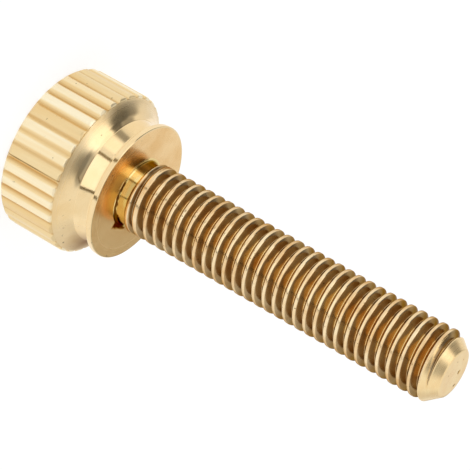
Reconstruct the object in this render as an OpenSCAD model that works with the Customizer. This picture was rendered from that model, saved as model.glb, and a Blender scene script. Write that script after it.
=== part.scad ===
// Thumb screw: straight-knurled head, waist, collar and a right-hand thread, turned in one piece of brass.
// It stands on the flat of its head with the shank pointing up.

/* [Head] */
// Diameter over the knurl ridges (mm)
knurl_d = 11.6; // [10.5:0.1:14]
// Length of the knurled band (mm)
knurl_len = 4.4; // [3:0.1:6]
// Number of knurl ridges
ridges = 34; // [24:1:40]
// Width of a knurl groove at its mouth (mm)
groove_w = 0.42; // [0.25:0.01:0.55]
// Depth of a knurl groove (mm)
groove_deep = 0.22; // [0.1:0.01:0.3]
// Bevel round the flat that the head stands on (mm)
rim_bevel = 0.3; // [0.1:0.05:0.5]
// Turn of the knurl about the axis (deg)
knurl_turn = 6.3; // [0:0.1:15]

/* [Waist] */
// Diameter of the waist between head and collar (mm)
waist_d = 8.2; // [7:0.1:9]
// Length of the waist above the shoulder (mm)
waist_len = 1.25; // [1:0.05:3]
// Rise of the sloped shoulder from the knurl to the waist (mm)
shoulder_rise = 0.95; // [0.5:0.05:1.2]
// Radius of the cove between shoulder and waist (mm)
cove_r = 1.6; // [0.3:0.1:1.8]

/* [Collar] */
// Diameter of the collar (mm)
collar_d = 9.65; // [9.2:0.05:10.2]
// Thickness of the collar (mm)
collar_t = 0.4; // [0.3:0.05:0.8]
// Edge break on both edges of the collar (mm)
edge_break = 0.06; // [0.02:0.01:0.12]

/* [Shank] */
// Length of the shank from the collar to the tip (mm)
shank_len = 25.15; // [12:0.05:40]
// Diameter of the plain neck under the collar (mm)
neck_d = 4.4; // [4.2:0.05:4.8]
// Length of the plain neck (mm)
neck_len = 0.75; // [0.6:0.05:2]
// Radius of the fillet between neck and collar (mm)
neck_fillet = 0.3; // [0.1:0.05:0.4]
// Diameter of the flat at the tip (mm)
tip_d = 3.3; // [2.8:0.1:4]
// Length of the taper at the tip (mm)
tip_len = 1.05; // [0.6:0.05:1.6]

/* [Thread] */
// Diameter over the thread crests (mm)
thread_d = 5; // [4.9:0.05:5.2]
// Rise of the thread in one turn (mm)
pitch = 0.8; // [0.7:0.05:0.9]
// Angle between the two flanks of the thread (deg)
flank_angle = 60; // [55:1:62]
// Share of the pitch that the crest takes
crest_share = 0.25; // [0.15:0.01:0.35]
// Share of the pitch that the root takes
root_share = 0.125; // [0.1:0.005:0.2]
// Turn of the thread about the axis (deg)
thread_turn = 45; // [0:5:355]

/* [Hidden] */
knurl_r = knurl_d / 2;
waist_r = waist_d / 2;
collar_r = collar_d / 2;
neck_r = neck_d / 2;
thread_r = thread_d / 2;
tip_r = tip_d / 2;
shoulder_z = knurl_len + shoulder_rise;
collar_z = shoulder_z + waist_len;
bearing_z = collar_z + collar_t;
tip_z = bearing_z + shank_len;
taper_z = tip_z - tip_len;
// The neck opens into the thread over a short cone
lead_z = bearing_z + neck_len;
lead_len = (thread_r - neck_r) / 1.5;
// Thread groove, from its mouth at the crests to its root
mouth_w = pitch * (1 - crest_share);
root_w = pitch * root_share;
thread_deep = (mouth_w - root_w) / 2 / tan(flank_angle / 2);
mouth_over = 0.3 * pitch * crest_share;
// Sections of the groove in a turn, and turns over which it sinks to its full depth
turn_flats = 24;
sink_turns = 1.2;
groove_z0 = lead_z;
groove_turns = (tip_z + mouth_w - groove_z0) / pitch;
sections = ceil(groove_turns * turn_flats);
corners = 4;
// Shoulder slope and the tangent length of the cove
slope = atan2(shoulder_rise, knurl_r - groove_deep - waist_r);
cove_run = cove_r / tan((90 + slope) / 2);
round_fn = 2 * ridges;
cove_fn = 32;
shank_fn = turn_flats;
cut_over = 1;
skin = 0.01;
brass = [0.82, 0.66, 0.36];

// Section of the head from the axis outward, without the knurl
module head_section() {
    shoulder_r = knurl_r - groove_deep;
    polygon([
        [0, 0],
        [knurl_r - rim_bevel, 0],
        [knurl_r, rim_bevel],
        [knurl_r, knurl_len - groove_deep * tan(slope)],
        [shoulder_r, knurl_len],
        [waist_r, shoulder_z],
        [waist_r, collar_z],
        [collar_r - edge_break, collar_z],
        [collar_r, collar_z + edge_break],
        [collar_r, bearing_z - edge_break],
        [collar_r - edge_break, bearing_z],
        [0, bearing_z]
    ]);
    cove_section();
}

// Fill of the cove, tangent to the shoulder and to the waist
module cove_section() {
    mid = [waist_r + cove_r, shoulder_z + cove_run];
    difference() {
        polygon([
            [waist_r - skin, shoulder_z],
            [waist_r, shoulder_z],
            [waist_r + cove_run * cos(slope), shoulder_z - cove_run * sin(slope)],
            mid,
            [waist_r, shoulder_z + cove_run],
            [waist_r - skin, shoulder_z + cove_run]
        ]);
        translate(mid) circle(r = cove_r, $fn = cove_fn);
    }
}

// One knurl groove, open at the rim
module knurl_groove() {
    translate([0, 0, -cut_over]) linear_extrude(knurl_len + shoulder_rise + cut_over) polygon([
        [knurl_r - groove_deep, -groove_w / 4],
        [knurl_r, -groove_w / 2],
        [knurl_r + cut_over, -groove_w / 2],
        [knurl_r + cut_over, groove_w / 2],
        [knurl_r, groove_w / 2],
        [knurl_r - groove_deep, groove_w / 4]
    ]);
}

module head() {
    rotate(knurl_turn) difference() {
        rotate_extrude($fn = round_fn) head_section();
        for (i = [0 : ridges - 1]) rotate(i * 360 / ridges) knurl_groove();
    }
}

// Plain neck, thread cylinder and tapered tip
module blank() {
    rotate_extrude($fn = shank_fn) polygon([
        [0, bearing_z - collar_t / 2],
        [neck_r, bearing_z - collar_t / 2],
        [neck_r, lead_z],
        [thread_r, lead_z + lead_len],
        [thread_r, taper_z],
        [tip_r, tip_z],
        [0, tip_z]
    ]);
}

// Fillet round the foot of the neck
module neck_foot() {
    rotate_extrude($fn = shank_fn) difference() {
        translate([neck_r - skin, bearing_z - skin]) square(neck_fillet + skin);
        translate([neck_r + neck_fillet, bearing_z + neck_fillet]) circle(r = neck_fillet, $fn = cove_fn);
    }
}

// Depth of the groove at a section
function sunk(i) = thread_deep * max(0.05, min(1, i / (sink_turns * turn_flats)));
function half_mouth(d) = root_w / 2 + (d + mouth_over) * tan(flank_angle / 2);
// Corners of the groove at a section, as radius and height
function corner_set(d) = [
    [thread_r - d, -root_w / 2],
    [thread_r + mouth_over, -half_mouth(d)],
    [thread_r + mouth_over, half_mouth(d)],
    [thread_r - d, root_w / 2]
];
function turn_at(i) = i * 360 / turn_flats;
function height_at(i) = groove_z0 + pitch * i / turn_flats;
groove_points = [
    for (i = [0 : sections]) for (c = corner_set(sunk(i)))
        [c[0] * cos(turn_at(i)), c[0] * sin(turn_at(i)), height_at(i) + c[1]]
];
groove_sides = [
    for (i = [0 : sections - 1]) for (j = [0 : corners - 1]) for (half = [0, 1])
        half == 0
            ? [i * corners + j, i * corners + (j + 1) % corners, (i + 1) * corners + (j + 1) % corners]
            : [i * corners + j, (i + 1) * corners + (j + 1) % corners, (i + 1) * corners + j]
];
groove_ends = [
    [for (j = [corners - 1 : -1 : 0]) j],
    [for (j = [0 : corners - 1]) sections * corners + j]
];

module thread_groove() {
    polyhedron(points = groove_points, faces = concat(groove_sides, groove_ends));
}

module shank() {
    rotate(thread_turn) difference() {
        blank();
        thread_groove();
    }
}

module thumb_screw() {
    color(brass) {
        head();
        neck_foot();
        shank();
    }
}

thumb_screw();
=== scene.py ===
"""Brass thumb screw, standing on its knurled head in a plain white studio."""

import logging
import math
from dataclasses import dataclass, field
from enum import Enum

import bmesh
import bpy
import numpy as np
from mathutils import Matrix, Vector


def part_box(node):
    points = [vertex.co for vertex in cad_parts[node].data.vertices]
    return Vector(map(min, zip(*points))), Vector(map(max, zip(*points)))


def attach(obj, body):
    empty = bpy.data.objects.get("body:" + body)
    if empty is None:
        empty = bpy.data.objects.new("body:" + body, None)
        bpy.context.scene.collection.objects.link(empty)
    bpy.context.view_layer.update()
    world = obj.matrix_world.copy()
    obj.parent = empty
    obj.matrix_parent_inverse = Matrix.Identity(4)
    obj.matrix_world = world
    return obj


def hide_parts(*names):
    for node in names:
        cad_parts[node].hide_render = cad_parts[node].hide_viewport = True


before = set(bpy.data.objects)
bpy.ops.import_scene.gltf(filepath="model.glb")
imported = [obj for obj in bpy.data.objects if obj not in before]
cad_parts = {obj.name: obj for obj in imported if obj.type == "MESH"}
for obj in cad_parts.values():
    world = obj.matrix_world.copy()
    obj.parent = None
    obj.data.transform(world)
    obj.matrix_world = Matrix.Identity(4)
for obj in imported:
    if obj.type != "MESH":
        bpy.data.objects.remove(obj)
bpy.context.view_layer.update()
LOG = logging.getLogger("thumb_screw")
MM = 0.001
FULL_TURN = 2 * math.pi
NODE = "thumb_screw"
BODY = "root"
WHITE = "#FFFFFF"
# Point attribute that tells a finish where to tint
DEPTH = "depth"
# Height of the collar's bearing face above the flat of the head, in millimetres
BEARING_Z = 7.0
# Points closer than the first are merged, and edges shorter than the second go, in millimetres
MERGE_MM = 0.0006
SLIVER_MM = 0.0004
# Spacing of a noise texture's marks at scale 1, in metres
NOISE_STEP = 0.5
Array = np.ndarray
Floats = tuple[float, ...]
Pair = tuple[float, float]
Pairs = tuple[Pair, ...]
Triple = tuple[float, float, float]
Socket = bpy.types.NodeSocket
Tree = bpy.types.NodeTree


class Zone(Enum):
    """The differently made surfaces of the screw, in the order of their materials."""

    TURNED = 0
    KNURLED = 1
    THREADED = 2
    FACED = 3
    GROOVED = 4
    SATIN = 5
    PARTED = 6
    NECK = 7


def linear(hex_colour: str) -> tuple[float, float, float, float]:
    """Turn an sRGB hex colour into linear RGBA, by the sRGB formula.

    Args:
        hex_colour: six hex digits, with or without a leading #.

    Returns:
        Linear red, green and blue with alpha 1.
    """
    digits = hex_colour.lstrip("#")
    srgb = [int(digits[i:i + 2], 16) / 255 for i in (0, 2, 4)]
    rgb = [c / 12.92 if c <= 0.04045 else ((c + 0.055) / 1.055) ** 2.4 for c in srgb]
    return (*rgb, 1.0)


def add_node(tree: Tree, kind: str, settings: dict | None = None,
             links: dict | None = None) -> bpy.types.Node:
    """Add one node with its settings and links.

    Args:
        tree: node tree to add to.
        kind: the node's Blender type.
        settings: values by name, of the node's properties or of its input sockets.
        links: output sockets by the name or index of the input that each one feeds.

    Returns:
        The new node.
    """
    node = tree.nodes.new(kind)
    for name, value in (settings or {}).items():
        if isinstance(name, str) and hasattr(node, name):
            setattr(node, name, value)
        else:
            node.inputs[name].default_value = value
    for name, source in (links or {}).items():
        tree.links.new(source, node.inputs[name])
    return node


def fill_ramp(ramp: bpy.types.ColorRamp, stops: list) -> None:
    """Set a colour ramp's stops.

    Args:
        ramp: the ramp, as new.
        stops: positions from 0 to 1 with linear colours, in order.
    """
    ramp.elements.remove(ramp.elements[-1])
    for i, (at, colour) in enumerate(stops):
        stop = ramp.elements[0] if i == 0 else ramp.elements.new(at)
        stop.position, stop.color = at, colour


def blank_material(name: str) -> bpy.types.Material:
    """Make a material with an empty node tree.

    Args:
        name: name of the material.

    Returns:
        The new material.
    """
    made = bpy.data.materials.new(name)
    made.use_nodes = True
    made.node_tree.nodes.clear()
    return made


def smooth_min(a: Array, b: Array, blend: float) -> Array:
    """The lower of two values, rounded inward over a blend where they cross."""
    share = np.clip(0.5 + 0.5 * (b - a) / blend, 0.0, 1.0)
    return b * (1 - share) + a * share - blend * share * (1 - share)


def smooth_max(a: Array, b: Array, blend: float) -> Array:
    """The higher of two values, rounded where they cross: see smooth_min."""
    return -smooth_min(-a, -b, blend)


def away_from(turn: Array, at: float) -> Array:
    """Degrees between angles in radians and a direction in degrees, the short way round."""
    return np.abs((np.degrees(turn) - at + 180) % 360 - 180)


def fade(value: Array, edge: Array | float, soft: float) -> Array:
    """One well below an edge, falling over a soft width to zero at the edge."""
    return np.clip((edge - value) / soft, 0.0, 1.0)


@dataclass(frozen=True)
class Sector:
    """A stretch round the axis with soft ends, in degrees."""

    at: float
    half: float
    soft: float

    def share(self, turn: Array) -> Array:
        """One inside the stretch, falling to zero at its ends, at angles in radians."""
        return fade(away_from(turn, self.at), self.half, self.soft)


def ring_noise(angle: Array, seed: int, waves: int) -> Array:
    """Smooth seeded noise round a circle.

    Args:
        angle: angles in radians.
        seed: seed of the noise.
        waves: the number of waves that are added up.

    Returns:
        Values of about -1 to 1.
    """
    rng = np.random.default_rng(seed)
    total = np.zeros_like(angle)
    for wave in range(1, waves + 1):
        total += rng.normal() * np.cos(wave * angle + rng.uniform(0, FULL_TURN))
    return total / math.sqrt(waves)


@dataclass(frozen=True)
class BrassFinish:
    """Brass of one surface: how it was worked gives its colours, roughness and marks."""

    name: str
    bright: str
    dull: str
    roughness: float
    line_mm: float
    line_height_mm: float
    anisotropy: float = 0.0
    turned: bool = True
    pressed_stretch: float = 0.06
    line_range: Pair = (0.3, 0.7)
    gloss_range: Pair = (0.8, 1.25)
    cloud_mm: float = 1.1
    cloud_stretch: Triple = (1.0, 1.0, 1.0)
    cloud_range: Pair = (0.35, 0.68)
    depth_tints: tuple[tuple[float, str], ...] = ()
    edge_tint: str = WHITE
    worn: float = 0.0
    tint_glancing: bool = False
    fleck_mm: float = 0.16
    fleck_from: float = 0.72
    fleck_soft: float = 0.06
    fleck_share: float = 0.75
    fleck_tint: str = "#4A3517"

    def lay(self, tree: Tree, place: Socket) -> Socket:
        """Find the coordinates that the fine lines follow.

        Args:
            tree: the material's node tree.
            place: coordinates on the object.

        Returns:
            The coordinates for the pattern of lines.
        """
        if not self.turned:
            # Pressed lines run along the axis
            stretch = (1, 1, self.pressed_stretch)
            return add_node(tree, "ShaderNodeVectorMath", {"operation": "MULTIPLY", 1: stretch},
                            {0: place}).outputs[0]
        # Turned lines run round the axis, so their pattern depends on radius and height only
        across = add_node(tree, "ShaderNodeVectorMath", {"operation": "MULTIPLY", 1: (1, 1, 0)},
                          {0: place})
        radius = add_node(tree, "ShaderNodeVectorMath", {"operation": "LENGTH"}, {0: across.outputs[0]})
        height = add_node(tree, "ShaderNodeSeparateXYZ", None, {0: place})
        return add_node(tree, "ShaderNodeCombineXYZ", None,
                        {0: radius.outputs["Value"], 2: height.outputs["Z"]}).outputs[0]

    def colour(self, tree: Tree, place: Socket, tint: Socket | None) -> Socket:
        """Colour the metal: bright brass, duller clouds, a tint by depth and a few dark flecks.

        Args:
            tree: the material's node tree.
            place: coordinates on the object.
            tint: the tint by depth, if the finish has one.

        Returns:
            The colour.
        """
        drawn = add_node(tree, "ShaderNodeVectorMath", {"operation": "MULTIPLY", 1: self.cloud_stretch},
                         {0: place})
        clouds = add_node(tree, "ShaderNodeTexNoise",
                          {"Scale": NOISE_STEP / (self.cloud_mm * MM), "Detail": 4.0, "Roughness": 0.6},
                          {"Vector": drawn.outputs[0]})
        cloudy = add_node(tree, "ShaderNodeMapRange",
                          {"From Min": self.cloud_range[0], "From Max": self.cloud_range[1]},
                          {"Value": clouds.outputs["Fac"]})
        tone = add_node(tree, "ShaderNodeMix",
                        {"data_type": "RGBA", 6: linear(self.bright), 7: linear(self.dull)},
                        {0: cloudy.outputs[0]}).outputs[2]
        if tint:
            tone = add_node(tree, "ShaderNodeMix", {"data_type": "RGBA", "blend_type": "MULTIPLY", 0: 1.0},
                            {6: tone, 7: tint}).outputs[2]
        flecks = add_node(tree, "ShaderNodeTexNoise",
                          {"Scale": NOISE_STEP / (self.fleck_mm * MM), "Detail": 2.0, "Roughness": 0.5},
                          {"Vector": place})
        fleck = add_node(tree, "ShaderNodeMapRange",
                         {"From Min": self.fleck_from, "From Max": self.fleck_from + self.fleck_soft,
                          "To Max": self.fleck_share},
                         {"Value": flecks.outputs["Fac"]})
        return add_node(tree, "ShaderNodeMix", {"data_type": "RGBA", 7: linear(self.fleck_tint)},
                        {0: fleck.outputs[0], 6: tone}).outputs[2]

    def material(self) -> bpy.types.Material:
        """Build the finish as a node material.

        Returns:
            The new material.
        """
        made = blank_material(self.name)
        tree = made.node_tree
        place = add_node(tree, "ShaderNodeTexCoord").outputs["Object"]
        depth = add_node(tree, "ShaderNodeAttribute", {"attribute_name": DEPTH}).outputs["Fac"]
        tint = None
        if self.depth_tints:
            ramp = add_node(tree, "ShaderNodeValToRGB", None, {0: depth})
            fill_ramp(ramp.color_ramp, [(at, linear(colour)) for at, colour in self.depth_tints])
            tint = ramp.outputs[0]
        lines = add_node(tree, "ShaderNodeTexNoise",
                         {"Scale": NOISE_STEP / (self.line_mm * MM), "Detail": 3.0, "Roughness": 0.6},
                         {"Vector": self.lay(tree, place)}).outputs["Fac"]
        gloss = add_node(tree, "ShaderNodeMapRange",
                         {"From Min": self.line_range[0], "From Max": self.line_range[1],
                          "To Min": self.roughness * self.gloss_range[0],
                          "To Max": self.roughness * self.gloss_range[1]},
                         {"Value": lines}).outputs[0]
        if self.worn:
            # Worn places are rougher, so they reflect softer
            gloss = add_node(tree, "ShaderNodeMath", {"operation": "MULTIPLY_ADD", 1: self.worn},
                             {0: depth, 2: gloss}).outputs[0]
        bump = add_node(tree, "ShaderNodeBump", {"Strength": 1.0, "Distance": self.line_height_mm * MM},
                        {"Height": lines})
        tangent = add_node(tree, "ShaderNodeTangent", {"direction_type": "RADIAL", "axis": "Z"})
        # The painted shade in the tint dulls the glancing light as well
        glancing = {"Specular Tint": tint} if self.tint_glancing else {}
        metal = add_node(tree, "ShaderNodeBsdfPrincipled",
                         {"Metallic": 1.0, "Anisotropic": self.anisotropy,
                          "Specular Tint": linear(self.edge_tint)},
                         {"Base Color": self.colour(tree, place, tint), "Roughness": gloss,
                          "Normal": bump.outputs[0], "Tangent": tangent.outputs[0], **glancing})
        add_node(tree, "ShaderNodeOutputMaterial", None, {"Surface": metal.outputs[0]})
        return made


# Turned brass: the tool leaves fine rings round the axis, so reflections are sharp and slightly streaked
TURNED_BRASS = BrassFinish(
    name="turned_brass", bright="#F6DCAC", dull="#EFD09A", roughness=0.11, anisotropy=0.3,
    line_mm=0.07, line_height_mm=0.0010)
# Satin turned brass: the shoulder and waist, sharp in their reflections at the waist, worn soft toward
# the knurl, and darkened on one side by a brownish painted shade
SATIN_BRASS = BrassFinish(
    name="satin_turned_brass", bright="#F6DCAC", dull="#EFD09A", roughness=0.11, anisotropy=0.2,
    line_mm=0.08, line_height_mm=0.0010, worn=0.45,
    depth_tints=((0.0, WHITE), (0.62, WHITE), (1.0, "#927446")))
# Faced brass: the bearing face, cut across in one pass, a deeper and softer gold, with a patch of painted
# shade beside the neck
FACED_BRASS = BrassFinish(
    name="faced_brass", bright="#FCD89E", dull="#F0C482", roughness=0.24, anisotropy=0.2,
    line_mm=0.07, line_height_mm=0.0010, tint_glancing=True,
    depth_tints=((0.0, WHITE), (0.35, "#E2D0B4"), (1.0, "#7C5428")))
# Burnished neck brass: polished by the thread die as it ran out, a yellower gold, with painted shade round
# it and at its foot
NECK_BRASS = BrassFinish(
    name="burnished_neck_brass", bright="#F8E09A", dull="#F0D28C", roughness=0.13, anisotropy=0.2,
    line_mm=0.06, line_height_mm=0.0010, cloud_mm=0.5, tint_glancing=True,
    depth_tints=((0.0, WHITE), (0.14, "#E4D8B6"), (0.34, "#D0C6B4"), (0.56, "#9A8050"),
                 (1.0, "#6C4A24")))
# Grooved brass: the underside of the collar, left matt by the narrow tool that cut the waist, and darkened
# on one side by painted shade
GROOVED_BRASS = BrassFinish(
    name="grooved_brass", bright="#FDF0CF", dull="#F5E2B8", roughness=0.55,
    line_mm=0.07, line_height_mm=0.002, depth_tints=((0.0, WHITE), (1.0, "#9A8E7C")))
# Parted brass: the taper and face of the tip, softer where the bar was cut off, with dark pits in the face
PARTED_BRASS = BrassFinish(
    name="parted_brass", bright="#FDE2AC", dull="#F6D49C", roughness=0.30, cloud_mm=0.5,
    line_mm=0.05, line_height_mm=0.002,
    depth_tints=((0.0, WHITE), (0.3, "#E6D8C0"), (1.0, "#6A5630")))
# Knurled brass: pressed ridges with pale, softly shining tops, grooves darkened by painted shade and some
# patina, and a painted shadow line along one ridge
KNURLED_BRASS = BrassFinish(
    name="knurled_brass", bright="#FFF6DA", dull="#F8E2B4", roughness=0.34,
    line_mm=0.06, line_height_mm=0.002, turned=False, cloud_mm=0.8, cloud_stretch=(1.0, 1.0, 0.08),
    depth_tints=((0.0, WHITE), (0.06, WHITE), (0.3, "#F6EAD2"), (0.6, "#EEDEC2"), (0.92, "#D6BA90"),
                 (1.0, "#6E5A3E")))
# Rolled thread brass: crests polished by the die, flanks browned between them, and on the near side painted
# highlights on the roots and painted orange glints in the grooves
THREAD_BRASS = BrassFinish(
    name="rolled_thread_brass", bright="#FEEECA", dull="#E8C694", roughness=0.18,
    line_mm=0.06, line_height_mm=0.0012, cloud_mm=0.7, fleck_mm=0.12, fleck_from=0.70,
    edge_tint="#B8A088",
    depth_tints=((0.0, "#FAF2E8"), (0.03, "#FAF2E8"), (0.11, "#BCB0A0"), (0.50, "#AEA292"),
                 (0.80, "#B0A290"), (0.90, "#CCB690"), (0.97, "#F0E0BC"), (1.0, "#F0E0BC")))

FINISHES = {Zone.TURNED: TURNED_BRASS, Zone.KNURLED: KNURLED_BRASS, Zone.THREADED: THREAD_BRASS,
            Zone.FACED: FACED_BRASS, Zone.GROOVED: GROOVED_BRASS, Zone.SATIN: SATIN_BRASS,
            Zone.PARTED: PARTED_BRASS, Zone.NECK: NECK_BRASS}


def placed(name: str, data: bpy.types.ID) -> bpy.types.Object:
    """Make an object of a mesh or camera and link it to the scene.

    Args:
        name: name of the object.
        data: the mesh or camera.

    Returns:
        The new object.
    """
    made = bpy.data.objects.new(name, data)
    bpy.context.scene.collection.objects.link(made)
    return made


def in_order(zones: list[Zone]) -> list[Zone]:
    """The zones that occur in a list, each once, in the order of Zone."""
    present = set(zones)
    return [zone for zone in Zone if zone in present]


def mesh_object(name: str, points: Array, faces: list, zones: list[Zone]) -> bpy.types.Object:
    """Make a smooth shaded mesh object, merged where points coincide.

    Args:
        name: name of the piece.
        points: points in metres.
        faces: faces as lists of point numbers.
        zones: the zone of each face.

    Returns:
        The new object, linked to the scene.
    """
    mesh = bpy.data.meshes.new(name)
    mesh.from_pydata(points.tolist(), [], faces)
    used = in_order(zones)
    indices = np.array([used.index(zone) for zone in zones], dtype=np.int32)
    mesh.polygons.foreach_set("material_index", indices)
    work = bmesh.new()
    work.from_mesh(mesh)
    bmesh.ops.remove_doubles(work, verts=work.verts, dist=MERGE_MM * MM)
    bmesh.ops.dissolve_degenerate(work, edges=work.edges, dist=SLIVER_MM * MM)
    bmesh.ops.recalc_face_normals(work, faces=work.faces)
    work.to_mesh(mesh)
    work.free()
    mesh.polygons.foreach_set("use_smooth", np.ones(len(mesh.polygons), dtype=bool))
    return placed(name, mesh)


def polar(piece: bpy.types.Object) -> tuple[Array, Array, Array]:
    """Radius, angle and height of a piece's points, in millimetres and radians.

    Args:
        piece: the piece.

    Returns:
        Radii, angles and heights.
    """
    flat = np.empty(len(piece.data.vertices) * 3, dtype=np.float32)
    piece.data.vertices.foreach_get("co", flat)
    x, y, z = flat.reshape(-1, 3).T.astype(float) / MM
    return np.hypot(x, y), np.arctan2(y, x) % FULL_TURN, z


def around(radius: Array, angle: Array, height: Array) -> Array:
    """Points from radii and heights by ring and column, and the columns' angles."""
    return np.stack([radius * np.cos(angle), radius * np.sin(angle), height], axis=2).reshape(-1, 3)


def ring_faces(rows: int, columns: int, first: int = 0) -> list:
    """Quads between closed rings of points.

    Args:
        rows: number of rings.
        columns: points in a ring.
        first: number of the first point.

    Returns:
        Faces as lists of point numbers.
    """
    faces = []
    for row in range(first, first + (rows - 1) * columns, columns):
        for j in range(columns):
            k = (j + 1) % columns
            faces.append([row + j, row + k, row + columns + k, row + columns + j])
    return faces


def arc(centre: Pair, radius: float, start: float, end: float, steps: int) -> list:
    """Points on an arc of a section, as radius and height, from one angle in degrees to another."""
    turns = [math.radians(start + (end - start) * i / steps) for i in range(steps + 1)]
    return [(centre[0] + radius * math.cos(t), centre[1] + radius * math.sin(t)) for t in turns]


def between(a: Pair, b: Pair, share: float) -> Pair:
    """Point of a section at a share of the way from one point to another."""
    return a[0] + (b[0] - a[0]) * share, a[1] + (b[1] - a[1]) * share


def span(a: Pair, b: Pair, steps: int) -> list:
    """Points on a straight stretch of a section, as radius and height, without its last point."""
    return [between(a, b, i / steps) for i in range(steps)]


class BrassPart:
    """A part of the screw that is one mesh, on the screw's one body."""

    def dress(self, piece: bpy.types.Object, zones: list[Zone], depth: Array) -> None:
        """Give a piece its finishes, mark where they tint it and tie it to the frame.

        Args:
            piece: the mesh of the part.
            zones: the zone of each face that the mesh was made with.
            depth: what the finishes tint by, from 0 to 1 at each point.
        """
        for zone in in_order(zones):
            finish = FINISHES[zone]
            piece.data.materials.append(bpy.data.materials.get(finish.name) or finish.material())
        stored = piece.data.attributes.new(DEPTH, "FLOAT", "POINT")
        stored.data.foreach_set("value", np.clip(depth, 0.0, 1.0).astype(np.float32))
        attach(piece, BODY)
        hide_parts(NODE)


@dataclass
class KnurledHead(BrassPart):
    """Head, waist and collar, in millimetres and degrees, the reach over the ridges from the frame."""

    knurl_r: float = field(
        default_factory=lambda: round((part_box(NODE)[1][0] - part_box(NODE)[0][0]) / 2 / MM, 2))
    knurl_len: float = 4.4
    rim_bevel: float = 0.3
    # Ridges: their count and turn, how deep and narrow the grooves between them are, and their round noses
    ridges: int = 34
    ridge_columns: int = 20
    ridge_soft: float = 0.02
    knurl_turn: float = 6.3
    knurl_seed: int = 34
    groove_deep: float = 0.22
    deep_most: float = 0.92
    deep_spread: float = 0.2
    narrow: float = 2.1
    narrow_spread: float = 0.8
    nose_r: float = 0.2
    nose_gap: float = 0.04
    # Shoulder, cove and waist, with a tool line where the waist's wall starts
    waist_r: float = 4.1
    shoulder_z: float = 5.35
    cove_r: float = 1.6
    waist_lean: float = 38.3
    tool_line: float = 0.03
    tool_line_rise: float = 0.012
    tool_line_end: Pair = (0.045, 0.06)
    # Collar
    collar_r: float = 4.825
    collar_z: float = 6.6
    edge_break: float = 0.06
    rim_land: float = 0.03
    face_land: float = 0.06
    # Softened corners, as steps of radius and height: flat to bevel, bevel to knurl, waist to collar
    flat_corner: Pairs = ((-0.05, 0.0), (-0.015, 0.006), (0.025, 0.035), (0.06, 0.06))
    band_corner: Pairs = ((-0.05, -0.05), (-0.03, -0.02), (-0.008, 0.02), (0.0, 0.08))
    under_corner: Pairs = ((0.0, -0.04), (0.012, -0.012), (0.04, 0.0))
    # Innermost rings of the flat and the face
    pole_r: float = 0.02
    # Marks: a painted shadow line along one ridge, dull ridges, wear of the shoulder's edge, and painted
    # shade low on the shoulder, under the collar and on the face beside the neck
    shadow_line_at: float = 289.3
    shadow_line_half: float = 0.5
    shadow_line_z: Floats = (0.4, 1.0, 1.5, 2.2, 2.8, 3.4, 4.0)
    shadow_line_dark: Floats = (0.96, 1.0, 0.97, 1.0, 0.98, 0.96, 0.94)
    dull_ridges: tuple[int, ...] = (2, 3, 7, 11, 12, 18, 19, 23, 26, 30, 31, 32)
    dull: float = 0.5
    wear: float = 0.6
    wear_reach: float = 0.5
    wear_bend: float = 1.5
    low_shade_at: float = 20.0
    low_shade_reach: Triple = (8.0, 42.0, 62.0)
    low_shade: Triple = (1.0, 0.62, 0.0)
    low_shade_rise: float = 0.7
    low_shade_rim: float = 0.78
    under_shade_side: Sector = Sector(273.0, 18.5, 5.0)
    face_shade_corners: Pairs = ((1.90, -0.75), (2.86, -0.64), (2.48, 1.15))
    face_shade_soft: float = 0.1
    face_shade_spill: float = 0.4
    # Points within this height of a face belong to it
    touch: float = 0.02

    def section(self) -> tuple[Array, list[Zone]]:
        """Walk the section from the middle of the flat to the middle of the bearing face.

        Returns:
            Points as radius and height, and the zone that starts at each point.
        """
        shoulder_r = self.knurl_r - self.groove_deep
        slope = math.atan2(self.shoulder_z - self.knurl_len, shoulder_r - self.waist_r)
        run = self.cove_r / math.tan((math.pi / 2 + slope) / 2)
        foot = (self.waist_r + run * math.cos(slope), self.shoulder_z - run * math.sin(slope))
        mid = (self.waist_r + self.cove_r, self.shoulder_z + run)
        flat_r = self.knurl_r - self.rim_bevel
        flat_edge = [(flat_r + r, z) for r, z in self.flat_corner]
        band_edge = [(self.knurl_r + r, self.rim_bevel + z) for r, z in self.band_corner]
        flat = span((self.pole_r, 0.0), flat_edge[0], steps=9)
        band = flat_edge[:-1] + span(flat_edge[-1], band_edge[0], steps=3) + band_edge[1:-1]
        # Each ridge ends in a round nose
        top = self.knurl_len - self.nose_gap - self.nose_r
        band += span(band_edge[-1], (self.knurl_r, top), steps=14)
        band += arc((self.knurl_r - self.nose_r, top), self.nose_r, 0, 90, steps=10)
        shoulder = span((shoulder_r, self.knurl_len), foot, steps=6)
        shoulder += arc(mid, self.cove_r, 270 - math.degrees(slope), 180 + self.waist_lean, steps=10)
        # The waist's tool left a fine line in the cove and a straight wall above it
        edge, wall_top = shoulder[-1], (self.waist_r, self.shoulder_z + run)
        line_end, wall_foot = (between(edge, wall_top, share) for share in self.tool_line_end)
        corner = [(self.waist_r + r, self.collar_z + z) for r, z in self.under_corner]
        waist = [(edge[0] - self.tool_line, edge[1] + self.tool_line_rise), line_end]
        waist += span(wall_foot, wall_top, steps=6) + span(wall_top, corner[0], steps=3) + corner[:-1]
        rim_r, rim_low = self.collar_r - self.edge_break, self.collar_z + self.edge_break
        rim_high = BEARING_Z - self.edge_break
        under = span(corner[-1], (rim_r, self.collar_z), steps=5)
        rim_end = (self.collar_r, rim_high - self.rim_land)
        rim = arc((rim_r, rim_low), self.edge_break, -90, 0, steps=4)
        rim += span((self.collar_r, rim_low + self.rim_land), rim_end, steps=3) + [rim_end]
        rim += arc((rim_r, rim_high), self.edge_break, 0, 90, steps=4)
        face = span((rim_r - self.face_land, BEARING_Z), (self.pole_r, BEARING_Z), steps=36)
        parts = [(flat, Zone.TURNED), (band, Zone.KNURLED), (shoulder + waist, Zone.SATIN),
                 (under, Zone.GROOVED), (rim, Zone.TURNED), (face, Zone.FACED)]
        points = np.array([point for part, _ in parts for point in part])
        return points, [zone for part, zone in parts for _ in part]

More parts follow.
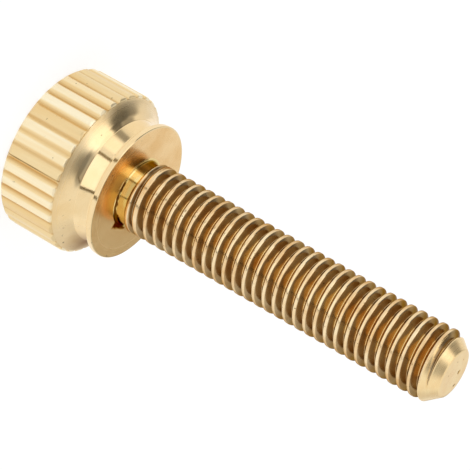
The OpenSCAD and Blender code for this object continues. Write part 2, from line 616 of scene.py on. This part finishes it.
    def groove_depth(self, angle: Array) -> Array:
        """Depth of the knurl below the ridge tops: round grooves, as a wheel presses them, no two alike.

        Args:
            angle: angles in radians.

        Returns:
            Depths in millimetres.
        """
        turned = (angle - math.radians(self.knurl_turn)) * self.ridges / FULL_TURN
        index = np.round(turned).astype(int) % self.ridges
        away = np.abs(turned - np.round(turned))
        rng = np.random.default_rng(self.knurl_seed)
        narrow = self.narrow + self.narrow_spread * rng.uniform(size=self.ridges)
        deep = self.groove_deep * (self.deep_most - self.deep_spread * rng.uniform(size=self.ridges))
        return deep[index] * (0.5 + 0.5 * np.cos(FULL_TURN * away)) ** narrow[index]

    def face_shade_patch(self, x: Array, y: Array) -> Array:
        """Three-cornered patch of painted shade on the bearing face at the foot of the neck.

        Args:
            x: places across, in millimetres.
            y: places along the view, in millimetres.

        Returns:
            Darkness from 0 to 1.
        """
        inside = np.full_like(x, np.inf)
        for (x0, y0), (x1, y1) in zip(self.face_shade_corners, self.face_shade_corners[1:] + self.face_shade_corners[:1]):
            side = (x1 - x0) * (y - y0) - (y1 - y0) * (x - x0)
            inside = np.minimum(inside, side / math.hypot(x1 - x0, y1 - y0))
        return np.clip(inside / self.face_shade_soft + self.face_shade_spill, 0.0, 1.0)

    def marks(self, r: Array, turn: Array, z: Array) -> Array:
        """What the finishes tint by: painted shade, dull ridges and a painted shadow line in the knurl, wear
        and painted shade above it.

        Args:
            r: radii in millimetres.
            turn: angles in radians.
            z: heights in millimetres.

        Returns:
            Shares from 0 to 1.
        """
        ridge = np.floor((turn - math.radians(self.knurl_turn)) * self.ridges / FULL_TURN) % self.ridges
        # Painted shade deepening into the grooves, and a duller tone on some ridges
        painted_shade_and_tone = np.maximum(self.groove_depth(turn) / self.groove_deep,
                             self.dull * np.isin(ridge, self.dull_ridges))
        # Painted shadow line along one ridge
        on_shadow_line = away_from(turn, self.shadow_line_at) < self.shadow_line_half
        knurl = np.where(on_shadow_line, np.interp(z, self.shadow_line_z, self.shadow_line_dark), painted_shade_and_tone)
        wear = self.wear * fade(z, self.knurl_len + self.wear_reach, self.wear_reach) ** self.wear_bend
        # Painted brownish shade low on the shoulder and cove, on one side
        low_shade = np.interp(away_from(turn, self.low_shade_at), self.low_shade_reach, self.low_shade)
        low_shade *= np.interp(z, (self.knurl_len, self.knurl_len + self.low_shade_rise), (self.low_shade_rim, 1.0))
        low_shade *= z < self.collar_z - self.touch
        # Painted shade on one side of the collar's underside
        under = (np.abs(z - self.collar_z) < self.touch) & (r > self.waist_r)
        # Painted shade on the bearing face beside the neck
        face_shade = self.face_shade_patch(r * np.cos(turn), r * np.sin(turn)) * (z > BEARING_Z - self.touch)
        low = np.where(z < self.knurl_len - self.touch, knurl, np.maximum(wear, low_shade))
        return np.where(under, self.under_shade_side.share(turn), low) + face_shade

    def build(self) -> bpy.types.Object:
        """Make the head's mesh in the row frame and dress it.

        Returns:
            The head as an object.
        """
        section, zones = self.section()
        count = self.ridge_columns * self.ridges
        angle = math.radians(self.knurl_turn) + FULL_TURN * np.arange(count) / count
        ridge = self.knurl_r - self.groove_depth(angle)
        radius, height = (np.repeat(section[:, i:i + 1], count, axis=1) for i in (0, 1))
        knurled = np.array([zone is Zone.KNURLED for zone in zones])
        cut = smooth_min(radius, np.broadcast_to(ridge, radius.shape), self.ridge_soft)
        radius = np.where(knurled[:, None], cut, radius)
        last = (len(section) - 1) * count
        faces = ring_faces(len(section), count)
        faces += [list(range(count))[::-1], list(range(last, last + count))]
        face_zones = [zone for zone in zones[:-1] for _ in angle] + [Zone.TURNED, Zone.FACED]
        piece = mesh_object("knurled_head", around(radius, angle, height) * MM, faces, face_zones)
        self.dress(piece, face_zones, self.marks(*polar(piece)))
        return piece


@dataclass
class ThreadedShank(BrassPart):
    """Neck, thread and tip, in degrees and millimetres above the bearing face, the length from the frame."""

    shank_len: float = field(default_factory=lambda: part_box(NODE)[1][2] / MM - BEARING_Z)
    columns: int = 112
    # Plain neck: rings at its foot, a small fillet, a slight taper and the cone into the thread
    neck_r: float = 2.24
    neck_len: float = 0.75
    neck_low: float = 0.30
    neck_taper: float = 0.15
    neck_fillet: float = 0.12
    neck_rings: Floats = (0.15, 0.19, 0.23, 0.27)
    foot_rings: Floats = (2.52, 2.50, 2.47, 2.44, 2.41, 2.38, 2.35)
    foot_gap: float = 0.005
    foot_sunk: float = 0.05
    lead_slope: float = 1.5
    lead_soft: float = 0.05
    # Thread: its form, how it sinks in and fades out, and the rows of its mesh in half a pitch
    thread_r: float = 2.5
    pitch: float = 0.8
    flank_half: float = 30.0
    crest_share: float = 0.23
    crest_soft: float = 0.03
    root_share: float = 0.10
    root_soft: float = 0.05
    thread_turn: float = 45.0
    sink_turns: float = 1.2
    fade_past: float = 0.41
    fade_len: float = 1.27
    row_steps: Floats = (0.0, 0.03, 0.055, 0.085, 0.135, 0.185, 0.235, 0.275, 0.3, 0.325)
    spare_turns: int = 2
    shallow: float = 0.04
    # Tip: its taper, the rings of its face, its softened edge and the pits by place, size and depth
    tip_r: float = 1.65
    tip_len: float = 1.05
    tip_soft: float = 0.06
    tip_end: float = 0.06
    tip_edge: Pairs = ((-0.12, -0.002), (-0.075, -0.009), (-0.035, -0.021), (0.0, -0.04))
    face_start: float = 0.01
    face_step: float = 0.06
    face_rings: int = 25
    pits: tuple[tuple[float, float, float, float], ...] = (
        (-0.25, 0.60, 0.16, 0.10), (0.66, 1.00, 0.10, 0.03), (0.56, 1.12, 0.08, 0.02),
        (-0.75, -0.55, 0.05, 0.02), (-1.05, 0.20, 0.05, 0.015), (0.30, -0.80, 0.04, 0.015))
    pit_dark: float = 0.5
    # Painted shade round the neck, and the torn burr with a painted shadow and painted shade at its foot
    neck_shade_at: Floats = (150, 190, 234, 240, 254, 258, 284, 288, 340, 360)
    painted_shade_and_tone: Floats = (0.0, 0.5, 0.56, 0.0, 0.0, 0.34, 0.34, 0.14, 0.14, 0.0)
    neck_shade_r: float = 2.37
    burr_side: Sector = Sector(292.0, 38.0, 8.0)
    burr_low: float = 0.006
    burr_high: float = 0.04
    burr_lift: float = 0.35
    burr_most: float = 1.2
    burr_lee: float = 0.7
    burr_seed: int = 7
    burr_waves: int = 24
    burr_shadow_side: Sector = Sector(298.0, 36.0, 6.0)
    burr_shadow_z: float = 0.10
    burr_shadow_wave: float = 0.05
    burr_shadow_edge: float = 0.05
    burr_shadow_r: float = 2.40
    burr_shadow_seed: int = 11
    burr_shadow_waves: int = 30
    foot_shade_side: Sector = Sector(350.0, 27.0, 5.0)
    foot_shade_z: float = 0.30
    foot_shade_edge: float = 0.1
    foot_shade_dark: float = 0.9
    # Painted light on the near side of the thread: painted highlights on the roots there, painted orange
    # glints in the grooves along its middle and at the last turn
    root_highlight_side: Sector = Sector(269.0, 40.0, 6.0)
    glint_side: Sector = Sector(269.0, 20.0, 18.0)
    glint_z: Pair = (3.0, 14.0)
    glint_share: Pair = (0.3, 0.9)
    glint_lift: float = 1.3
    glint_most: float = 0.9
    last_len: float = 2.1
    last_soft: float = 0.5
    last_half: float = 80.0
    brown_most: float = 0.82

    def groove_deep(self) -> float:
        """Full depth of the thread groove, from its flank angle and its mouth and root."""
        across = self.pitch * (1 - self.crest_share - self.root_share) / 2
        return across / math.tan(math.radians(self.flank_half))

    def blank(self, z: Array) -> Array:
        """Radius of the shank before the thread was cut.

        Args:
            z: heights above the bearing face.

        Returns:
            Radii.
        """
        lead = self.neck_r + (z - self.neck_len) * self.lead_slope
        neck = np.maximum(self.neck_r - self.neck_taper * (z - self.neck_low), lead)
        taper = self.tip_r + (self.shank_len - z) * (self.thread_r - self.tip_r) / self.tip_len
        body = smooth_min(neck, np.full_like(z, self.thread_r), self.lead_soft)
        return smooth_min(body, taper, self.tip_soft)

    def radius(self, z: Array, angle: Array) -> Array:
        """Radius of the threaded shank.

        Args:
            z: heights above the bearing face.
            angle: angles in radians.

        Returns:
            Radii.
        """
        turned = (z - self.neck_len) / self.pitch - (angle - math.radians(self.thread_turn)) / FULL_TURN
        off = (turned - np.round(turned)) * self.pitch
        centre = z - off
        turns = (centre - self.neck_len) / self.pitch
        root_half = self.pitch * self.root_share / 2
        ending = fade(centre, self.shank_len + self.fade_past, self.fade_len)
        sunk = self.groove_deep() * np.clip(turns / self.sink_turns, 0.0, 1.0) * ending
        floor = self.thread_r - sunk
        flank = floor + (np.abs(off) - root_half) / math.tan(math.radians(self.flank_half))
        groove = smooth_max(floor, flank, self.root_soft)
        crest = smooth_min(groove, np.full_like(z, self.thread_r), self.crest_soft)
        crest = np.where(turns < 0, self.thread_r, crest)
        return smooth_min(self.blank(z), crest, self.crest_soft)

    def mesh_top(self) -> float:
        """Height at which the thread's mesh ends and the edge of the tip starts."""
        return self.shank_len - self.tip_end

    def helix_rows(self) -> tuple[Array, int]:
        """Start heights of the rows that follow the helix.

        Returns:
            Heights at angle 0, and the number of rows in a pitch.
        """
        phases = [*self.row_steps, self.pitch / 2, *(self.pitch - p for p in self.row_steps[:0:-1])]
        start = self.neck_len - self.pitch * self.thread_turn / 360
        first = math.floor((self.neck_low - start) / self.pitch) - self.spare_turns
        last = math.ceil((self.mesh_top() - start) / self.pitch) + self.spare_turns
        rows = [start + self.pitch * turn + p for turn in range(first, last) for p in phases]
        return np.array(rows), len(phases)

    def build(self) -> bpy.types.Object:
        """Make the shank's mesh in the row frame and dress it.

        Returns:
            The shank as an object.
        """
        n = self.columns
        angle = np.arange(n) * FULL_TURN / n
        starts, per_turn = self.helix_rows()
        z = starts[:, None] + self.pitch * angle[None, :] / FULL_TURN
        z = np.clip(z, self.neck_low, self.mesh_top())
        radius = self.radius(z, np.broadcast_to(angle, z.shape))
        points = [around(radius, angle, z)]
        shallow = self.blank(z) - radius < self.shallow
        faces, zones = [], []
        for i in range(len(starts) - 1 - per_turn):
            for j in range(n):
                step, k = (0, j + 1) if j + 1 < n else (per_turn, 0)
                faces.append([i * n + j, (i + step) * n + k, (i + 1 + step) * n + k, (i + 1) * n + j])
                middle = z[i, j] + self.pitch / per_turn
                if middle < self.neck_len:
                    zones.append(Zone.NECK)
                elif middle > self.shank_len - self.tip_len and shallow[i, j]:
                    zones.append(Zone.PARTED)
                else:
                    zones.append(Zone.THREADED)
        count = len(starts) * n
        for (ring_r, ring_z), zone in ((self.foot(angle), Zone.NECK), (self.cap(angle), Zone.PARTED)):
            points.append(around(ring_r, angle, ring_z))
            made = ring_faces(len(ring_r), n, count) + [list(range(count, count + n))]
            faces += made
            zones += [zone] * len(made)
            count += len(ring_r) * n
        lifted = np.concatenate(points) + np.array([0, 0, BEARING_Z])
        piece = mesh_object("threaded_shank", lifted * MM, faces, zones)
        r, turn, height = polar(piece)
        self.dress(piece, zones, self.marks(r, turn, height - BEARING_Z))
        return piece

    def marks(self, r: Array, turn: Array, z: Array) -> Array:
        """What the finishes tint by: painted shade on the neck, the depth of the thread with its painted
        highlights and glints, and the pits of the tip.

        Args:
            r: radii.
            turn: angles in radians.
            z: heights above the bearing face.

        Returns:
            Shares from 0 to 1.
        """
        thread = self.painted_thread_light((self.blank(z) - r) / self.groove_deep(), turn, z)
        shank = np.where(z < self.neck_len, self.painted_neck_shade(r, turn, z), thread)
        return np.where(z > self.mesh_top(), self.pit_depth(r, turn)[1], shank)

    def painted_thread_light(self, sunk: Array, turn: Array, z: Array) -> Array:
        """Shift the depth that the finish tints by: painted highlights on the roots and painted orange
        glints in the grooves on the near side, and darker roots elsewhere.

        Args:
            sunk: share of the groove's depth.
            turn: angles in radians.
            z: heights above the bearing face.

        Returns:
            Shares for the finish.
        """
        # Painted orange glints in the grooves on the near side and at the last turn
        glint = self.glint_side.share(turn) * np.interp(z, self.glint_z, self.glint_share)
        last = 1 - fade(z, self.shank_len - self.last_len + self.last_soft, self.last_soft)
        last *= away_from(turn, self.glint_side.at) < self.last_half
        lift = 1 + self.glint_lift * np.maximum(glint, last)
        lifted = np.maximum(sunk, np.minimum(sunk * lift, self.glint_most))
        # Painted highlights on the roots on the near side only
        return np.minimum(lifted, self.brown_most + (1 - self.brown_most) * self.root_highlight_side.share(turn))

    def painted_neck_shade(self, r: Array, turn: Array, z: Array) -> Array:
        """Painted shade on the sides of the neck, a painted shadow under the torn burr and painted shade at
        its foot.

        Args:
            r: radii.
            turn: angles in radians.
            z: heights above the bearing face.

        Returns:
            Darkness from 0 to 1.
        """
        # Painted shade round the neck, by angle
        painted_shade_and_tone = np.interp(np.degrees(turn), self.neck_shade_at, self.painted_shade_and_tone) * (r < self.neck_shade_r)
        # Painted shadow along the torn burr at the neck's foot
        edge = self.burr_shadow_z + self.burr_shadow_wave * ring_noise(turn, self.burr_shadow_seed, self.burr_shadow_waves)
        torn = self.burr_shadow_side.share(turn) * fade(z, edge + self.burr_shadow_edge / 2, self.burr_shadow_edge)
        torn *= r < self.burr_shadow_r
        # Painted shade at the neck's foot, beside the patch on the bearing face
        foot_shade = self.foot_shade_dark * self.foot_shade_side.share(turn) * fade(z, self.foot_shade_z, self.foot_shade_edge)
        return np.maximum(np.maximum(painted_shade_and_tone, torn), foot_shade)

    def pit_depth(self, r: Array, turn: Array) -> tuple[Array, Array]:
        """Pits in the face of the tip.

        Args:
            r: radii.
            turn: angles in radians.

        Returns:
            Depths in millimetres, and darkness from 0 to 1.
        """
        deep, dark = np.zeros_like(r), np.zeros_like(r)
        for x, y, size, sunk in self.pits:
            share = np.hypot(r * np.cos(turn) - x, r * np.sin(turn) - y) / size
            deep = np.maximum(deep, sunk * np.clip(1 - share ** 2, 0.0, 1.0))
            dark = np.maximum(dark, fade(share, 1.0, 1 - self.pit_dark))
        return deep, dark

    def foot(self, angle: Array) -> tuple[Array, Array]:
        """Rings from the bearing face up the fillet to the neck, with the torn burr on the near side.

        Args:
            angle: angles of the columns.

        Returns:
            Radii and heights by ring and column.
        """
        rough = self.burr_lift + ring_noise(angle, self.burr_seed, self.burr_waves)
        rough = self.burr_side.share(angle) * np.clip(rough, 0.0, self.burr_most)
        burr = self.burr_low + self.burr_high * rough
        plain = np.full_like(angle, self.foot_gap)
        sunk_r, plain_r, burr_r, lee_r, *inner = self.foot_rings
        rows = [(sunk_r, plain - self.foot_sunk), (plain_r, plain), (burr_r, burr)]
        rows += [(lee_r, burr * self.burr_lee), *((r, plain) for r in inner)]
        fillet = arc((self.neck_r + self.neck_fillet, self.neck_fillet), self.neck_fillet, 270, 180, steps=6)
        neck = [(self.neck_r, z) for z in self.neck_rings]
        rows += [(r - self.neck_taper * (z - self.neck_low), plain + z) for r, z in fillet + neck]
        top = np.full_like(angle, self.neck_low)
        radii = [np.full_like(angle, r) for r, _ in rows] + [self.radius(top, angle)]
        return np.array(radii), np.array([z for _, z in rows] + [top])

    def cap(self, angle: Array) -> tuple[Array, Array]:
        """Rings from the middle of the tip's face to the end of the taper.

        Args:
            angle: angles of the columns.

        Returns:
            Radii and heights by ring and column.
        """
        rows = [(self.face_start + self.face_step * i, self.shank_len) for i in range(self.face_rings)]
        rows += [(self.tip_r + r, self.shank_len + z) for r, z in self.tip_edge]
        top = np.full_like(angle, self.mesh_top())
        radii = np.array([np.full_like(angle, r) for r, _ in rows] + [self.radius(top, angle)])
        heights = np.array([np.full_like(angle, z) for _, z in rows] + [top])
        heights -= self.pit_depth(radii, np.broadcast_to(angle, radii.shape))[0]
        return radii, heights


@dataclass(frozen=True)
class TentPatch:
    """A brighter or dimmer patch of the studio tent, by compass angle and height in degrees."""

    compass: float
    height: float
    reach: float
    soft: float
    level: float

    def way(self) -> Triple:
        """Direction of the patch from the screw."""
        c, h = math.radians(self.compass), math.radians(self.height)
        return (math.cos(c) * math.cos(h), math.sin(c) * math.cos(h), math.sin(h))


def sheet(name: str, corners: list, material: bpy.types.Material) -> bpy.types.Object:
    """Make one flat sheet of the studio.

    Args:
        name: name of the sheet.
        corners: its four corners in metres, in order.
        material: what it is made of.

    Returns:
        The sheet, linked to the scene.
    """
    mesh = bpy.data.meshes.new(name)
    mesh.from_pydata(corners, [], [[0, 1, 2, 3]])
    mesh.materials.append(material)
    return placed(name, mesh)


@dataclass(frozen=True)
class Card:
    """An upright studio card, seen only in the metal, in millimetres, with its tone and level."""

    name: str
    middle: Pair
    facing: float
    width: float
    heights: Pair
    tone: str
    level: float = 1.0

    def build(self) -> bpy.types.Object:
        """Stand the card up as part of the stage.

        Returns:
            The card.
        """
        c = math.radians(self.facing + 90)
        step = np.array([math.cos(c), math.sin(c)]) * self.width / 2
        left, right = np.array(self.middle) - step, np.array(self.middle) + step
        low, high = self.heights
        corners = np.array([(*left, low), (*right, low), (*right, high), (*left, high)]) * MM
        made = blank_material(self.name)
        glow = add_node(made.node_tree, "ShaderNodeEmission",
                        {"Color": linear(self.tone), "Strength": self.level})
        add_node(made.node_tree, "ShaderNodeOutputMaterial", None, {"Surface": glow.outputs[0]})
        card = sheet(self.name, corners.tolist(), made)
        card.visible_camera = card.visible_diffuse = card.visible_shadow = False
        return card


@dataclass
class Studio:
    """Plain white floor, pale tent, cards and the photograph's camera, in metres."""

    floor_half: float = 3.0
    floor_glow: float = 0.78
    paper: str = "#989898"
    tent_level: float = 0.96
    patch_least: float = 0.5
    patches: tuple[TentPatch, ...] = (
        TentPatch(90, 10, 20, 30, 0.86), TentPatch(-172, 58, 23, 4, 1.45), TentPatch(-150, 44, 12, 3, 1.35),
        TentPatch(-143, 26, 15, 3, 1.32), TentPatch(-141, 8, 12, 3, 1.28), TentPatch(-75, 62, 21, 5, 0.46),
        TentPatch(-78, 77, 14, 5, 0.25), TentPatch(133, 35, 9, 7, 0.28), TentPatch(158, 28, 12, 6, 0.36),
        TentPatch(-176, 15, 9, 6, 0.50), TentPatch(146, 46, 12, 4, 0.15), TentPatch(168, 46, 8, 3, 0.12),
        TentPatch(176, 40, 8, 3, 0.16), TentPatch(-178, 34, 8, 3, 0.20), TentPatch(-173, 27, 7.5, 3, 0.24),
        TentPatch(-168, 20, 7, 3, 0.28), TentPatch(-166, 12, 7, 3, 0.32), TentPatch(-165, 5, 7, 3, 0.36),
        TentPatch(44, 14, 18, 13, 0.73))
    cards: tuple[Card, ...] = (
        Card("shade_card", (7.25, 40.0), -90, 13.5, (15.0, 38.0), "#B4AE9E"),
        Card("white_card", (4.0, -30.0), 90, 36.0, (4.6, 17.0), WHITE, 1.3),
        Card("low_flag", (7.21, -11.33), 128, 1.1, (1.8, 14.0), "#6A5E44"),
        Card("tall_flag", (7.21, -11.33), 128, 0.8, (14.0, 28.0), "#6E6450"),
        Card("side_flag", (-4.87, -12.08), 64, 1.1, (1.8, 11.0), "#86795E"))
    elevation: float = 23.6987
    roll: float = 119.6876
    location: Triple = (-0.000756, -0.165704, 0.087335)
    lens: float = 215.02
    sensor: float = 36.0
    clip: Pair = (0.01, 10.0)

    def floor(self) -> bpy.types.Object:
        """Lay the floor: white to the camera and in the metal, dimmed by the screw's own shadow.

        Returns:
            The floor.
        """
        made = blank_material("white_studio_paper")
        tree = made.node_tree
        path = add_node(tree, "ShaderNodeLightPath")
        seen = add_node(tree, "ShaderNodeMath", {"operation": "MAXIMUM"},
                        {0: path.outputs["Is Camera Ray"], 1: path.outputs["Is Glossy Ray"]})
        shown = add_node(tree, "ShaderNodeMath", {"operation": "MAXIMUM"},
                         {0: seen.outputs[0], 1: path.outputs["Is Transmission Ray"]})
        strength = add_node(tree, "ShaderNodeMath", {"operation": "MULTIPLY", 1: self.floor_glow},
                            {0: shown.outputs[0]})
        glow = add_node(tree, "ShaderNodeEmission", {"Color": linear(WHITE)},
                        {"Strength": strength.outputs[0]})
        paper = add_node(tree, "ShaderNodeBsdfDiffuse", {"Color": linear(self.paper)})
        both = add_node(tree, "ShaderNodeAddShader", None, {0: glow.outputs[0], 1: paper.outputs[0]})
        add_node(tree, "ShaderNodeOutputMaterial", None, {"Surface": both.outputs[0]})
        h = self.floor_half
        floor = sheet("studio_floor", [(-h, -h, 0), (h, -h, 0), (h, h, 0), (-h, h, 0)], made)
        return floor

    def tent(self) -> bpy.types.World:
        """Hang the pale tent with its brighter and dimmer patches.

        Returns:
            The world.
        """
        world = bpy.data.worlds.new("studio_tent")
        bpy.context.scene.world = world
        world.use_nodes = True
        tree = world.node_tree
        tree.nodes.clear()
        way = add_node(tree, "ShaderNodeTexCoord").outputs["Generated"]
        pale = (*[self.tent_level] * 3, 1.0)
        shade = None
        for patch in self.patches:
            close = add_node(tree, "ShaderNodeVectorMath", {"operation": "DOT_PRODUCT", 1: patch.way()},
                             {0: way})
            inner = max(patch.reach - patch.soft, self.patch_least)
            share = add_node(tree, "ShaderNodeMapRange",
                             {"interpolation_type": "SMOOTHSTEP",
                              "From Min": math.cos(math.radians(patch.reach + patch.soft)),
                              "From Max": math.cos(math.radians(inner))},
                             {"Value": close.outputs["Value"]})
            level = (*[patch.level] * 3, 1.0)
            under = {6: shade} if shade else {}
            mixed = add_node(tree, "ShaderNodeMix", {"data_type": "RGBA", 6: pale, 7: level},
                             {0: share.outputs[0], **under})
            shade = mixed.outputs[2]
        path = add_node(tree, "ShaderNodeLightPath")
        seen = add_node(tree, "ShaderNodeMix", {"data_type": "RGBA", 7: linear(WHITE)},
                        {0: path.outputs["Is Camera Ray"], 6: shade})
        back = add_node(tree, "ShaderNodeBackground", {"Strength": 1.0}, {"Color": seen.outputs[2]})
        add_node(tree, "ShaderNodeOutputWorld", None, {"Surface": back.outputs[0]})
        return world

    def camera(self) -> bpy.types.Object:
        """Set the camera where the photograph was taken from, in the screw's frame.

        Returns:
            The camera.
        """
        data = bpy.data.cameras.new("studio_camera")
        data.lens, data.sensor_width = self.lens, self.sensor
        data.clip_start, data.clip_end = self.clip
        cam = placed("studio_camera", data)
        e, r = math.radians(self.elevation), math.radians(self.roll)
        level = np.array([1.0, 0.0, 0.0])
        rise = np.array([0.0, math.sin(e), math.cos(e)])
        turn = np.eye(4)
        turn[:3, 0] = math.cos(r) * level + math.sin(r) * rise
        turn[:3, 1] = -math.sin(r) * level + math.cos(r) * rise
        turn[:3, 2] = (0.0, -math.cos(e), math.sin(e))
        turn[:3, 3] = self.location
        cam.matrix_world = Matrix(turn.tolist())
        bpy.context.scene.camera = cam
        return cam


def main() -> None:
    """Build the screw and its studio in order, and report each piece."""
    logging.basicConfig(level=logging.INFO, format="%(name)s %(message)s")
    bpy.context.scene.view_settings.view_transform = "Standard"
    for part in (KnurledHead(), ThreadedShank()):
        piece = part.build()
        LOG.info("%s: %d faces", piece.name, len(piece.data.polygons))
    studio = Studio()
    cards = (card.build() for card in studio.cards)
    for staged in (studio.floor(), studio.tent(), *cards, studio.camera()):
        LOG.info("%s: in place", staged.name)


if __name__ == "__main__":
    main()
